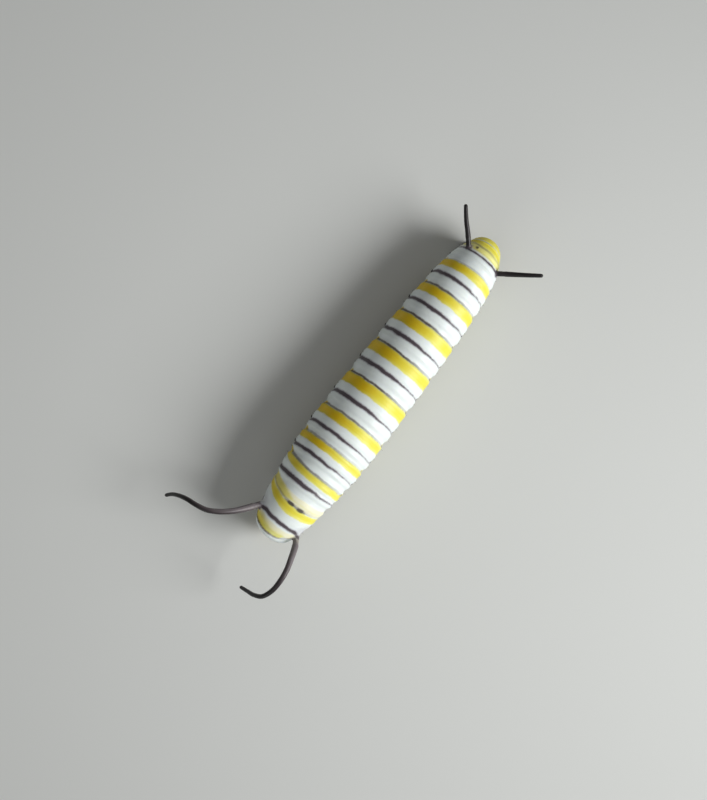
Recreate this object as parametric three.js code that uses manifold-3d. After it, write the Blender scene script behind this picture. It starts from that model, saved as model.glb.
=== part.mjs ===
// The full-grown larva of a monarch butterfly, at life size, at rest with its head tucked under.
// Millimetres, +Z up. The head is towards -Y and the animal's left is towards +X.
import * as THREE from "three";
import { mergeVertices } from "three/addons/utils/BufferGeometryUtils.js";
import Module from "manifold-3d";

const wasm = await Module();
wasm.setup();

const GAP = 0.25; // between neighbouring pieces
const BODY_SIDES = 30; // facets round the body
const ROW_LENGTH = 0.42; // between rows of facets along the body
const DOME = 0.62; // how far the round front and tail reach past their sections, in segment lengths

// The section where each body segment begins, and the last one's end: y along the animal from the
// front of its hood, z of the section's middle, width, height, and the lean of its top to the head.
const SECTIONS = [
  { name: "prothorax", y: 1.5, z: 3.4, wide: 3.6, tall: 3.2, lean: 50 },
  { name: "mesothorax", y: 2.05, z: 4.0, wide: 4.6, tall: 4.4, lean: 44 },
  { name: "metathorax", y: 5.5, z: 4.25, wide: 5.9, tall: 5.45, lean: 12 },
  { name: "abdomen_1", y: 7.95, z: 4.33, wide: 6.5, tall: 6.0, lean: 3 },
  { name: "abdomen_2", y: 10.4, z: 4.27, wide: 6.9, tall: 6.3, lean: 1 },
  { name: "abdomen_3", y: 13.6, z: 4.13, wide: 6.95, tall: 6.4, lean: 0 },
  { name: "abdomen_4", y: 17.45, z: 4.03, wide: 6.8, tall: 6.3, lean: 0 },
  { name: "abdomen_5", y: 21.2, z: 3.98, wide: 6.6, tall: 6.2, lean: 0 },
  { name: "abdomen_6", y: 24.85, z: 3.93, wide: 6.35, tall: 6.0, lean: -1 },
  { name: "abdomen_7", y: 28.2, z: 3.85, wide: 5.95, tall: 5.65, lean: -4 },
  { name: "abdomen_8", y: 31.15, z: 3.7, wide: 5.3, tall: 5.1, lean: -12 },
  { name: "abdomen_9", y: 32.75, z: 3.4, wide: 4.5, tall: 4.2, lean: -18 },
  { name: "anal_segment", y: 33.45, z: 3.05, wide: 3.85, tall: 3.6, lean: -31 },
  { name: "tail end", y: 34.15, z: 2.65, wide: 3.15, tall: 2.8, lean: -44 },
];
const LAST = SECTIONS.length - 1;

// Folds across each segment, as the share of the segment where they lie, their depth as a share of
// the body's radius, and their half width as a share of the segment.
const FOLDS = [
  { at: 0.0, deep: 0.05, wide: 0.1 },
  { at: 0.36, deep: 0.028, wide: 0.09 },
  { at: 0.7, deep: 0.016, wide: 0.08 },
];
const FLANK = { angle: 112, spread: 16, swell: 0.035, middle: 0.45 }; // the roll of skin above the feet
const BELLY_SQUARENESS = 0.9; // under 1 flattens the belly and fills its corners

const LEG_BLACK = "#191616";
const SKIN_WHITE = "#e9efe6";
const FOOT_GREY = "#4a4541";
const HEAD_YELLOW = "#e6dc8c";

const radians = THREE.MathUtils.degToRad;

// One value of the section table at body place t, where each whole number begins a segment.
function sized(t, key) {
  const i = THREE.MathUtils.clamp(Math.floor(t), 0, LAST - 1);
  const f = t - i;
  const [p, q] = [SECTIONS[i][key], SECTIONS[i + 1][key]];
  if (f < 0 || f > 1) return p + (q - p) * f;
  const before = SECTIONS[Math.max(i - 1, 0)][key];
  const after = SECTIONS[Math.min(i + 2, LAST)][key];
  const [m, n] = [(q - before) / 2, (after - p) / 2];
  const [f2, f3] = [f * f, f * f * f];
  return p * (2 * f3 - 3 * f2 + 1) + m * (f3 - 2 * f2 + f) + q * (3 * f2 - 2 * f3) + n * (f3 - f2);
}

// How far the folds and the flank's roll draw in or push out the skin, as a share of the radius.
function relief(t, angle) {
  const share = t - Math.floor(t);
  let k = 1;
  for (const fold of FOLDS) {
    const off = Math.abs(share - fold.at);
    k -= fold.deep * Math.exp(-((Math.min(off, 1 - off) / fold.wide) ** 2));
  }
  const away = (THREE.MathUtils.radToDeg(Math.abs(angle)) - FLANK.angle) / FLANK.spread;
  const wave = 0.6 + 0.4 * Math.cos(2 * Math.PI * (share - FLANK.middle));
  return k + FLANK.swell * Math.exp(-away * away) * wave;
}

// A point of the body: place t along it, angle from the middle of the back (positive to the animal's
// left), depth 1 on the skin and 0 on the axis, and grown outwards by some millimetres.
function bodyPoint(t, angle, depth = 1, grow = 0) {
  const k = relief(t, angle);
  const lower = Math.cos(angle) < 0;
  const power = lower ? BELLY_SQUARENESS : 1;
  const across = Math.sign(Math.sin(angle)) * Math.abs(Math.sin(angle)) ** power;
  const up = Math.sign(Math.cos(angle)) * Math.abs(Math.cos(angle)) ** power;
  const past = Math.max(0, t - LAST, -t) / DOME;
  const round = Math.sqrt(Math.max(0, 1 - past * past));
  const x = depth * across * ((sized(t, "wide") / 2) * k * round + grow);
  const h = depth * up * ((sized(t, "tall") / 2) * k * round + grow);
  const push = grow * past * Math.sign(t);
  const [sin, cos] = [Math.sin(radians(sized(t, "lean"))), Math.cos(radians(sized(t, "lean")))];
  return new THREE.Vector3(x, sized(t, "y") - h * sin + push * cos, sized(t, "z") + h * cos + push * sin);
}

// A geometry as a solid: its corners are merged and the flat triangles at poles left out.
function solid(geometry) {
  const bare = new THREE.BufferGeometry();
  bare.setAttribute("position", geometry.getAttribute("position"));
  bare.setIndex(geometry.index);
  const merged = mergeVertices(bare, 1e-4);
  const corners = Array.from(merged.index.array);
  const kept = [];
  for (let i = 0; i < corners.length; i += 3) {
    const [a, b, c] = corners.slice(i, i + 3);
    if (a !== b && b !== c && c !== a) kept.push(a, b, c);
  }
  const vertProperties = new Float32Array(merged.getAttribute("position").array);
  const made = new wasm.Manifold(
    new wasm.Mesh({ numProp: 3, vertProperties, triVerts: new Uint32Array(kept) }),
  );
  if (made.volume() > 0) return made;
  const turned = new Uint32Array(kept);
  for (let i = 0; i < turned.length; i += 3) [turned[i + 1], turned[i + 2]] = [turned[i + 2], turned[i + 1]];
  return new wasm.Manifold(new wasm.Mesh({ numProp: 3, vertProperties, triVerts: turned }));
}

// The largest closed body of a solid, which drops a scrap that a cut leaves.
function largest(made) {
  return made.decompose().reduce((a, b) => (a.volume() > b.volume() ? a : b));
}

// A solid as a named mesh with its own material.
function piece(name, made, colour, roughness) {
  const mesh = largest(made).getMesh();
  const geometry = new THREE.BufferGeometry();
  geometry.setAttribute("position", new THREE.BufferAttribute(mesh.vertProperties, 3));
  geometry.setIndex(new THREE.BufferAttribute(mesh.triVerts, 1));
  geometry.computeVertexNormals();
  const material = new THREE.MeshStandardMaterial({ color: colour, roughness, metalness: 0 });
  const node = new THREE.Mesh(geometry, material);
  node.name = name;
  return node;
}

// Moves each corner of a geometry to where a function of its place puts it.
function shaped(geometry, place) {
  const position = geometry.getAttribute("position");
  const p = new THREE.Vector3();
  for (let i = 0; i < position.count; i += 1) {
    const q = place(p.fromBufferAttribute(position, i));
    position.setXYZ(i, q.x, q.y, q.z);
  }
  return geometry;
}

// A stretch of the body from t0 to t1, turned on a lathe and laid on the body's own sections.
function bodyLength(t0, t1, grow = 0) {
  const length = Math.abs(sized(t1, "y") - sized(t0, "y")) + Math.abs(sized(t1, "z") - sized(t0, "z"));
  const rows = Math.max(3, Math.round(length / ROW_LENGTH));
  const dome = [0.35, 0.65, 0.87, 0.97].map((share) => DOME * share);
  const stations = [];
  for (let i = 0; i <= rows; i += 1) stations.push(t0 + ((t1 - t0) * i) / rows);
  if (t0 === 0) stations.unshift(...dome.map((reach) => -reach).reverse());
  if (t1 === LAST) stations.push(...dome.map((reach) => LAST + reach));
  const profile = stations.map((t) => new THREE.Vector2(1, t));
  profile.unshift(new THREE.Vector2(0, t0 === 0 ? -DOME : t0));
  profile.push(new THREE.Vector2(0, t1 === LAST ? LAST + DOME : t1));
  return solid(
    shaped(new THREE.LatheGeometry(profile, BODY_SIDES), (p) =>
      bodyPoint(p.y, Math.atan2(p.x, p.z), Math.hypot(p.x, p.z), grow),
    ),
  );
}

// The body grown by a little over the gap, which cuts the roots of all that grows from it.
const CLEARANCE = 0.36;
const bodyClear = bodyLength(0, LAST, CLEARANCE);

// Everything under the floor, which cuts the feet flat.
const floorBlock = solid(new THREE.BoxGeometry(60, 90, 10).translate(0, 18, -5));

// A round limb along a curve. Each row of the profile gives the share of the curve and the radius,
// and flat narrows it sideways.
function limb(curve, profile, sides, flat = 1) {
  const steps = 120;
  const frames = curve.computeFrenetFrames(steps, false);
  const points = [new THREE.Vector2(0, profile[0][0])];
  for (const [share, radius] of profile) points.push(new THREE.Vector2(radius, share));
  points.push(new THREE.Vector2(0, profile[profile.length - 1][0]));
  return solid(
    shaped(new THREE.LatheGeometry(points, sides), (p) => {
      const i = Math.round(THREE.MathUtils.clamp(p.y, 0, 1) * steps);
      return curve
        .getPointAt(THREE.MathUtils.clamp(p.y, 0, 1))
        .addScaledVector(frames.normals[i], p.x * flat)
        .addScaledVector(frames.binormals[i], p.z);
    }),
  );
}

const through = (points) => new THREE.CatmullRomCurve3(points.map((p) => new THREE.Vector3(...p)));

// The thin slice left out between the segments on either side of section i.
function slice(i) {
  const slab = new THREE.BoxGeometry(12, GAP, 12);
  return solid(slab.rotateX(radians(sized(i, "lean"))).translate(0, sized(i, "y"), sized(i, "z")));
}

// The thirteen segments of the body
function bodySegments() {
  return SECTIONS.slice(0, LAST).map((s, i) => {
    let segment = bodyLength(i, i + 1);
    if (i > 0) segment = segment.subtract(slice(i));
    if (i < LAST - 1) segment = segment.subtract(slice(i + 1));
    return piece(s.name, segment, SKIN_WHITE, 0.55);
  });
}

// The head capsule hangs from the front of the prothorax. Its own axes are x across, up from the mouth
// to the crown, and out from the neck to the face.
const HEAD = { wide: 3.4, tall: 3.2, deep: 2.5, y: 1.95, z: 1.95, lean: 72, sides: 30, rows: 20 };
const headFrame = (() => {
  const lean = radians(HEAD.lean);
  const up = new THREE.Vector3(0, -Math.sin(lean), Math.cos(lean));
  const out = new THREE.Vector3(0, -Math.cos(lean), -Math.sin(lean));
  return { up, out, middle: new THREE.Vector3(0, HEAD.y, HEAD.z) };
})();

// A point of the head from shares of its half width, half height and half depth.
function headPoint(x, up, out) {
  return headFrame.middle
    .clone()
    .add(new THREE.Vector3((x * HEAD.wide) / 2, 0, 0))
    .addScaledVector(headFrame.up, (up * HEAD.tall) / 2)
    .addScaledVector(headFrame.out, (out * HEAD.deep) / 2);
}

// The skull's surface in a direction: two cheeks with a seam between them, and a lower, flatter face.
function headSurface(direction, lift = 0) {
  const { x, y, z } = direction;
  const seam = 0.05 * Math.exp(-((x / 0.09) ** 2)) * THREE.MathUtils.smoothstep(y, -0.1, 0.7);
  const cheek = 0.05 * Math.exp(-(((Math.abs(x) - 0.55) / 0.3) ** 2)) * (y > 0 ? 1 : 0.6);
  const chin = 0.1 * THREE.MathUtils.smoothstep(-y, 0.2, 1) * (1 - Math.abs(x));
  const k = 1 - seam + cheek - chin + lift;
  const jaw = 1 - 0.16 * THREE.MathUtils.smoothstep(-y, 0, 1);
  return headPoint(x * k * jaw, y * k, z * k * (z > 0 ? 0.94 : 1));
}

// The small round eyes: six on each side, five in an arc and one behind it.
const EYE_RADIUS = 0.13;
function eyeDirections(side) {
  const found = [];
  for (let i = 0; i < 5; i += 1) {
    const turn = radians(-70 + i * 42);
    found.push([0.86, -0.36 + 0.17 * Math.sin(turn), 0.3 + 0.17 * Math.cos(turn)]);
  }
  found.push([0.9, -0.34, 0.08]);
  return found.map(([x, y, z]) => new THREE.Vector3(side * x, y, z).normalize());
}

// The skull as a solid, grown by some millimetres.
function skullSolid(grow = 0) {
  const ball = new THREE.SphereGeometry(1, HEAD.sides, HEAD.rows);
  return solid(shaped(ball, (p) => headSurface(p.clone().normalize(), (2 * grow) / HEAD.tall)));
}
const skullClear = skullSolid(CLEARANCE);

function headPieces() {
  let skull = skullSolid();
  for (const side of [-1, 1]) {
    for (const direction of eyeDirections(side)) {
      const eye = new THREE.SphereGeometry(EYE_RADIUS, 8, 6).translate(...headSurface(direction, -0.02));
      skull = skull.add(solid(eye));
    }
  }
  // The upper lip is a notched plate over the jaws, and the lower lip a cone that ends in the spinneret.
  for (const side of [-1, 1]) {
    const lip = through([headPoint(side * 0.16, -0.72, 0.62), headPoint(side * 0.2, -1.04, 0.6)].map((p) => [
      p.x,
      p.y,
      p.z,
    ]));
    skull = skull.add(limb(lip, [[0, 0.34], [0.6, 0.36], [0.9, 0.28], [1, 0.14]], 10));
  }
  const chin = through([headPoint(0, -0.6, -0.1), headPoint(0, -1.0, 0), headPoint(0, -1.22, 0.08)].map((p) => [
    p.x,
    p.y,
    p.z,
  ]));
  skull = skull.add(limb(chin, [[0, 0.5], [0.5, 0.45], [0.8, 0.3], [1, 0.14]], 12));
  const head = piece("head", skull.subtract(bodyClear), HEAD_YELLOW, 0.35);

  const others = [];
  for (const [word, side] of [["right", -1], ["left", 1]]) {
    const feeler = through(
      [headPoint(side * 0.62, -0.62, 0.5), headPoint(side * 0.76, -0.9, 0.78), headPoint(side * 0.8, -1.12, 0.98)].map(
        (p) => [p.x, p.y, p.z],
      ),
    );
    const feelerSolid = limb(feeler, [[0, 0.26], [0.45, 0.26], [0.62, 0.24], [0.8, 0.2], [1, 0.1]], 10);
    others.push(piece("antenna_" + word, feelerSolid.subtract(skullClear), FOOT_GREY, 0.5));
  }
  return [head, ...others];
}

// The six jointed legs of the thorax, from hip to claw, and where each foot stands.
const LEGS = [
  { name: "leg_T1", t: 0.75, out: 1.15, foot: [1.5, 4.15], thick: 0.34, knee: 0.25 },
  { name: "leg_T2", t: 1.55, out: 1.1, foot: [1.75, 5.7], thick: 0.44, knee: 0.4 },
  { name: "leg_T3", t: 2.45, out: 1.2, foot: [2.05, 7.6], thick: 0.48, knee: 0.45 },
];

function legPieces() {
  const made = [];
  for (const leg of LEGS) {
    const hip = bodyPoint(leg.t, Math.PI, 0.55);
    const [footX, footY] = leg.foot;
    for (const [word, side] of [["right", -1], ["left", 1]]) {
      const curve = through([
        [side * leg.out, hip.y, hip.z + 0.3],
        [side * (leg.out + leg.knee), (hip.y + footY) / 2 - 0.15, hip.z * 0.5],
        [side * footX, footY, 0.45],
        [side * footX, footY + 0.05, -0.15],
      ]);
      const r = leg.thick;
      const profile = [
        [0, r * 1.25],
        [0.3, r * 1.2],
        [0.42, r * 1.12],
        [0.47, r * 0.95],
        [0.55, r * 1.0],
        [0.66, r * 0.9],
        [0.7, r * 0.72],
        [0.78, r * 0.74],
        [0.88, r * 0.6],
        [0.94, r * 0.42],
        [1, r * 0.36],
      ];
      const whole = limb(curve, profile, 12).subtract(bodyClear).subtract(skullClear).subtract(floorBlock);
      made.push(piece(leg.name + "_" + word, whole, LEG_BLACK, 0.35));
    }
  }
  return made;
}

// The fleshy feet under abdomen 3 to 6, and the clasping pair at the tail.
const PROLEG = { out: 1.8, splay: 0.35, top: 2.5, share: 0.42, long: 1.1, wide: 0.92 };
const PROLEG_PROFILE = [
  [0, 1.0],
  [0.3, 1.02],
  [0.52, 0.92],
  [0.68, 0.78],
  [0.8, 0.7],
  [0.88, 0.76],
  [0.95, 0.8],
  [1, 0.7],
];

function foot(x, y, top, lean, long, wide) {
  const points = [new THREE.Vector2(0, 0)];
  for (const [share, radius] of PROLEG_PROFILE) points.push(new THREE.Vector2(radius, share));
  points.push(new THREE.Vector2(0, 1));
  const geometry = shaped(new THREE.LatheGeometry(points, 16), (p) => {
    const rise = 1 - p.y;
    return new THREE.Vector3(x + p.x * wide - Math.sign(x) * rise * PROLEG.splay, y + p.z * long + rise * lean, rise * top);
  });
  return solid(geometry);
}

function prolegPieces() {
  const made = [];
  for (const [word, side] of [["right", -1], ["left", 1]]) {
    for (const number of [3, 4, 5, 6]) {
      const t = number + 2 + PROLEG.share;
      const whole = foot(side * PROLEG.out, sized(t, "y"), PROLEG.top, 0, PROLEG.long, PROLEG.wide);
      made.push(piece("proleg_A" + number + "_" + word, whole.subtract(bodyClear), FOOT_GREY, 0.5));
    }
    const last = foot(side * 1.3, 33.5, 2.6, -0.3, 1.05, 0.85);
    made.push(piece("proleg_anal_" + word, last.subtract(bodyClear), FOOT_GREY, 0.5));
  }
  return made;
}

// The soft black filaments: a long drooping pair on the mesothorax, a short pair on abdomen 8.
// Each route starts inside the body and is a few points that the pose needs, x to the left.
const FRONT_LEFT = [
  [1.2, 3.1, 4.2],
  [2.14, 1.78, 4.9],
  [2.53, 0.97, 5.65],
  [2.82, -0.05, 6.25],
  [3.13, -1.21, 6.55],
  [3.29, -2.49, 6.45],
  [3.28, -3.49, 6.0],
  [2.96, -4.42, 5.3],
  [2.36, -4.78, 4.3],
  [1.7, -4.85, 3.1],
  [1.06, -4.9, 2.0],
];
const FRONT_RIGHT = [
  [-1.3, 3.2, 4.2],
  [-2.4, 2.09, 4.9],
  [-3.13, 1.14, 5.5],
  [-4.06, 0.07, 6.1],
  [-5.09, -0.8, 6.45],
  [-6.08, -1.35, 6.5],
  [-7.04, -1.55, 6.2],
  [-8.03, -1.63, 5.6],
  [-8.81, -1.81, 4.6],
  [-9.35, -2.1, 3.5],
  [-9.69, -2.5, 2.7],
];
const REAR_LEFT = [
  [0.9, 32.0, 4.1],
  [2.13, 32.85, 4.7],
  [3.2, 33.56, 5.1],
  [4.27, 34.28, 5.5],
  [5.52, 35.18, 5.7],
];
const REAR_RIGHT = [
  [-0.5, 32.0, 4.1],
  [-1.56, 33.02, 4.8],
  [-2.42, 33.9, 5.2],
  [-3.37, 34.77, 5.6],
  [-4.38, 35.9, 5.9],
];
const FRONT_FILAMENT = { root: 0.4, middle: 0.28, tip: 0.17, sides: 12, lengths: ["base", "middle", "tip"] };
const REAR_FILAMENT = { root: 0.34, middle: 0.26, tip: 0.18, sides: 12, lengths: [""] };

// One filament, tapering from a swollen root to a round tip, in one or more lengths.
function filamentPieces(name, route, size) {
  const curve = through(route);
  const whole = curve.getLength();
  const radius = (share) =>
    size.middle + (size.root - size.middle) * (1 - share) ** 4 - (size.middle - size.tip) * share ** 2;
  return size.lengths.map((word, i) => {
    const start = i ? i / size.lengths.length + GAP / 2 / whole : 0;
    const end = i < size.lengths.length - 1 ? (i + 1) / size.lengths.length - GAP / 2 / whole : 1;
    const tip = end === 1;
    const rows = Math.max(5, Math.round(((end - start) * whole) / 0.5));
    const profile = [];
    for (let k = 0; k <= rows; k += 1) {
      const share = start + ((end - (tip ? size.tip / whole : 0) - start) * k) / rows;
      profile.push([share, radius(share)]);
    }
    if (tip) profile.push([1 - (0.4 * size.tip) / whole, size.tip * 0.75], [1, size.tip * 0.3]);
    const made = limb(curve, profile, size.sides).subtract(bodyClear);
    return piece([name, word].filter(Boolean).join("_"), made, LEG_BLACK, 0.45);
  });
}

const animal = new THREE.Group();
animal.add(...bodySegments(), ...headPieces(), ...legPieces(), ...prolegPieces());
animal.add(...filamentPieces("filament_front_left", FRONT_LEFT, FRONT_FILAMENT));
animal.add(...filamentPieces("filament_front_right", FRONT_RIGHT, FRONT_FILAMENT));
animal.add(...filamentPieces("filament_rear_left", REAR_LEFT, REAR_FILAMENT));
animal.add(...filamentPieces("filament_rear_right", REAR_RIGHT, REAR_FILAMENT));

// The part's origin is on the floor, under the middle of all that the animal covers.
const covered = new THREE.Box3().setFromObject(animal).getCenter(new THREE.Vector3());
animal.position.set(-covered.x, -covered.y, 0);

const larva = new THREE.Group();
larva.add(animal);
export default larva;
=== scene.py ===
# The larva of a monarch butterfly at life size, lying still with its head tucked under its hood.
import math
import random

import bmesh
import bpy
import numpy as np
from mathutils import Matrix, Vector, noise


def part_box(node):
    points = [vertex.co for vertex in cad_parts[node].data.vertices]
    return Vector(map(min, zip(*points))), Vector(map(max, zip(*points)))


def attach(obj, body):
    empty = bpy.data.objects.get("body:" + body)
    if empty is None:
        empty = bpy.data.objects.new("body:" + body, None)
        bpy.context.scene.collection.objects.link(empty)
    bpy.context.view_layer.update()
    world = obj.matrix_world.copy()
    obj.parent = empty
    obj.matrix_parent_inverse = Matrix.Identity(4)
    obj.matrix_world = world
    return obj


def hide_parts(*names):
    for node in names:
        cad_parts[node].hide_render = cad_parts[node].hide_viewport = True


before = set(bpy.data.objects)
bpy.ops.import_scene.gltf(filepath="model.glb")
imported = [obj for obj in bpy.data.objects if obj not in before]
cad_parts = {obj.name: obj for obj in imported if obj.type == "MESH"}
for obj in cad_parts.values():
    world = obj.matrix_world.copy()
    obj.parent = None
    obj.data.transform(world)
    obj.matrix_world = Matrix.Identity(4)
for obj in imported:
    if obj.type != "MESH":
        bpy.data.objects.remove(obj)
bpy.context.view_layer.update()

# The place of the animal. Its own axes are in millimetres: x across to its left, y from the front of
# its hood to its tail, z up from the floor. The third segment of its abdomen shows where that lies.
MM = 0.001
SEGMENT_GAP = 0.25
HOOD_TO_ABDOMEN_3 = 13.6

low, high = (Vector(corner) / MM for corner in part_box("abdomen_3"))
PLACE = Vector(((low.x + high.x) / 2, low.y - HOOD_TO_ABDOMEN_3 - SEGMENT_GAP / 2, 0))


def placed(x, y, z):
    """A point of the animal, in the frame's metres."""
    return (Vector((x, y, z)) + PLACE) * MM


# The view from nearly straight above and a little ahead, as close as a hand lens. The body lies along
# the slope of the frame, with its head at the lower left.
VIEW_TARGET = placed(-1.342, 15.176, 4.0)
VIEW_DISTANCE = 0.25
VIEW_AHEAD = 6.0
VIEW_TO_RIGHT_SIDE = 4.5
VIEW_ROLL = -0.1433
BODY_IN_FRAME = Vector((0.6140, -0.7892))
FRAME_WIDTH = 707
FRAME_SCALE = 0.093 * MM

toward = Vector((-math.tan(math.radians(VIEW_TO_RIGHT_SIDE)), -math.tan(math.radians(VIEW_AHEAD)), 1))
toward.normalize()
upright = Vector((-BODY_IN_FRAME.x, -BODY_IN_FRAME.y, 0))
upright = (upright - toward * upright.dot(toward)).normalized()
upright = Matrix.Rotation(math.radians(VIEW_ROLL), 3, toward) @ upright
camera = bpy.data.objects.new("camera", bpy.data.cameras.new("camera"))
camera.matrix_world = Matrix.Translation(VIEW_TARGET + toward * VIEW_DISTANCE) @ Matrix(
    (upright.cross(toward), upright, toward)
).transposed().to_4x4()
camera.data.sensor_fit = "HORIZONTAL"
camera.data.lens = camera.data.sensor_width * VIEW_DISTANCE / (FRAME_SCALE * FRAME_WIDTH)
camera.data.clip_start = 0.005
bpy.context.collection.objects.link(camera)
bpy.context.scene.camera = camera
bpy.context.scene.view_settings.view_transform = "Standard"

# Soft studio light: a soft box on the animal's left, weak cards above and ahead of it, and dim grey
# walls. Places are in the animal's millimetres, sizes in metres and powers in watts.
LIGHTS = {
    "soft box": {"at": (160, 60, 120), "size": 0.12, "power": 0.106},
    "fill": {"at": (-90, -60, 170), "size": 0.2, "power": 0.008},
    "front card": {"at": (30, -180, 50), "size": 0.16, "power": 0.028},
}
LIGHT_TARGET = (0, 17.5, 3)
LIGHT_SPREAD, WALL_GREY = 80, 0.13

for name, light in LIGHTS.items():
    lamp = bpy.data.objects.new(name, bpy.data.lights.new(name, "AREA"))
    lamp.data.size = light["size"]
    lamp.data.energy = light["power"]
    lamp.data.spread = math.radians(LIGHT_SPREAD)
    lamp.location = placed(*light["at"])
    aim = lamp.location - placed(*LIGHT_TARGET)
    lamp.rotation_euler = aim.to_track_quat("Z", "Y").to_euler()
    bpy.context.collection.objects.link(lamp)
world = bpy.data.worlds.new("grey walls")
world.use_nodes = True
world.node_tree.nodes["Background"].inputs["Color"].default_value = (WALL_GREY, WALL_GREY, WALL_GREY, 1)
bpy.context.scene.world = world

# The floor: a plain pale sheet of board, much wider than the view, that takes the animal's soft shadow.
FLOOR_SIZE = 1.2
BOARD = "#d4d6d3"


def linear(code):
    """An sRGB hex colour as linear values."""
    parts = [int(code[i : i + 2], 16) / 255 for i in (1, 3, 5)]
    return (*(c / 12.92 if c <= 0.04045 else ((c + 0.055) / 1.055) ** 2.4 for c in parts), 1.0)


def add(tree, kind, inputs=(), stops=(), **settings):
    """Adds a node with its settings. Each input is a value, a hex colour or what feeds it."""
    node = tree.nodes.new(kind)
    for key, value in settings.items():
        setattr(node, key, value)
    for key, value in dict(inputs).items():
        if isinstance(value, bpy.types.NodeSocket):
            tree.links.new(value, node.inputs[key])
        else:
            node.inputs[key].default_value = linear(value) if isinstance(value, str) else value
    for n, (at, colour) in enumerate(stops):
        stop = node.color_ramp.elements[n] if n < 2 else node.color_ramp.elements.new(at)
        stop.position, stop.color = at, linear(colour)
    return node


def finish_of(name, roughness, colour="#ffffff", **sockets):
    """A new material with its shader, which takes constants on its own sockets."""
    material = bpy.data.materials.new(name)
    material.use_nodes = True
    shader = material.node_tree.nodes["Principled BSDF"]
    shader.inputs["Roughness"].default_value = roughness
    shader.inputs["Base Color"].default_value = linear(colour)
    for key, value in sockets.items():
        shader.inputs[key.replace("_", " ")].default_value = value
    return material, material.node_tree, shader


bm = bmesh.new()
bmesh.ops.create_grid(bm, x_segments=1, y_segments=1, size=FLOOR_SIZE / 2)
mesh = bpy.data.meshes.new("floor")
bm.to_mesh(mesh)
bm.free()
floor = bpy.data.objects.new("floor", mesh)
bpy.context.collection.objects.link(floor)
# Matt board is pressed from pulp and left uncoated, so it is smooth and even and has no shine.
floor.data.materials.append(finish_of("matt board", 0.9, BOARD)[0])

# The skin: one soft moist hide over thirteen segments, drawn out into two pairs of soft feelers above
# and the fleshy feet below. It is shaped as a round tube whose rings lean with the body's bend, joined
# to its feet and feelers and smoothed over the joins. Lengths are in millimetres.
SECTIONS = np.array((
    # y and z of each segment's start, width, height, lean of its top towards the head in degrees
    (1.5, 3.4, 3.6, 3.2, 50),
    (2.05, 4.0, 4.6, 4.4, 44),
    (5.5, 4.25, 5.9, 5.45, 12),
    (7.95, 4.33, 6.5, 6.0, 3),
    (10.4, 4.27, 6.9, 6.3, 1),
    (13.6, 4.13, 6.95, 6.4, 0),
    (17.45, 4.03, 6.8, 6.3, 0),
    (21.2, 3.98, 6.6, 6.2, 0),
    (24.85, 3.93, 6.35, 6.0, -1),
    (28.2, 3.85, 5.95, 5.65, -4),
    (31.15, 3.7, 5.3, 5.1, -12),
    (32.75, 3.4, 4.5, 4.2, -18),
    (33.45, 3.05, 3.85, 3.6, -31),
    (34.15, 2.65, 3.15, 2.8, -44),
)).T
Y, Z, WIDE, TALL, LEAN = SECTIONS
LAST = len(Y) - 1
DOME = 0.62
# Folds cross each segment: where in it, how deep as a share of the body's size, and how wide.
FOLDS = ((0.0, 0.05, 0.1), (0.36, 0.028, 0.09), (0.7, 0.016, 0.08))
WRINKLE = {"count": 7, "deep": 0.004}
FLANK = {"angle": 112, "spread": 16, "swell": 0.035, "middle": 0.45, "wave": 0.4}
BELLY_SQUARENESS = 0.9
TUBE_GRID, DOME_ROWS, FEELER_GRID, FOOT_GRID = (300, 96), 12, (90, 24), (44, 40)
VOXEL = 0.1

# The fleshy feet: four pairs under the middle of the abdomen and a pair at its end. Each gives how far out
# its sole stands, how much nearer to the middle its top is, the top's height, half its length and width,
# and how far back the top leans. The profile gives shares of the way down and of the width.
FEET_AT = (5.42, 6.42, 7.42, 8.42)
FOOT = {"out": 1.8, "splay": 0.35, "top": 2.5, "long": 1.1, "wide": 0.92, "back": 0.0}
TAIL_FOOT = {"out": 1.3, "splay": 0.35, "top": 2.6, "long": 1.05, "wide": 0.85, "back": -0.3}
TAIL_FOOT_Y = 33.5
FOOT_PROFILE = (
    (0.0, 1.0), (0.3, 1.02), (0.5, 0.94), (0.66, 0.8), (0.76, 0.72), (0.82, 0.7), (0.87, 0.77),
    (0.93, 0.82), (0.975, 0.8), (1.0, 0.7),
)

# The feelers' middle lines, from inside the body to the tips, and their radii. Then how their colour
# runs: how much the side towards the tail is painted lighter and the side towards the head darker, as
# painted light and shade, how far the skin's colour reaches up the root, how much farther on that side,
# and how ashen the stem is at three shares of its length.
FRONT_LEFT = (
    (1.2, 3.1, 4.2), (2.14, 1.78, 4.9), (2.53, 0.97, 5.65), (2.82, -0.05, 6.25), (3.13, -1.21, 6.55),
    (3.29, -2.49, 6.45), (3.28, -3.49, 6.0), (2.96, -4.42, 5.3), (2.36, -4.78, 4.3), (1.7, -4.85, 3.1),
    (1.06, -4.9, 2.0),
)
FRONT_RIGHT = (
    (-1.3, 3.2, 4.2), (-2.4, 2.09, 4.9), (-3.13, 1.14, 5.5), (-4.06, 0.07, 6.1), (-5.09, -0.8, 6.45),
    (-6.08, -1.35, 6.5), (-7.04, -1.55, 6.2), (-8.03, -1.63, 5.6), (-8.81, -1.81, 4.6),
    (-9.35, -2.1, 3.5), (-9.69, -2.5, 2.7),
)
REAR_LEFT = ((0.9, 32.0, 4.1), (2.13, 32.85, 4.7), (3.2, 33.56, 5.1), (4.27, 34.28, 5.5), (5.52, 35.18, 5.7))
REAR_RIGHT = (
    (-0.5, 32.0, 4.1), (-1.56, 33.02, 4.8), (-2.42, 33.9, 5.2), (-3.37, 34.77, 5.6), (-4.38, 35.9, 5.9),
)
FRONT_SIZE = {
    "root": 0.42, "middle": 0.28, "tip": 0.17, "painted_light_tailward": 0.5, "blend": 0.35, "pale": 4,
    "ash": (0.85, 0.5, 0.05),
}
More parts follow.
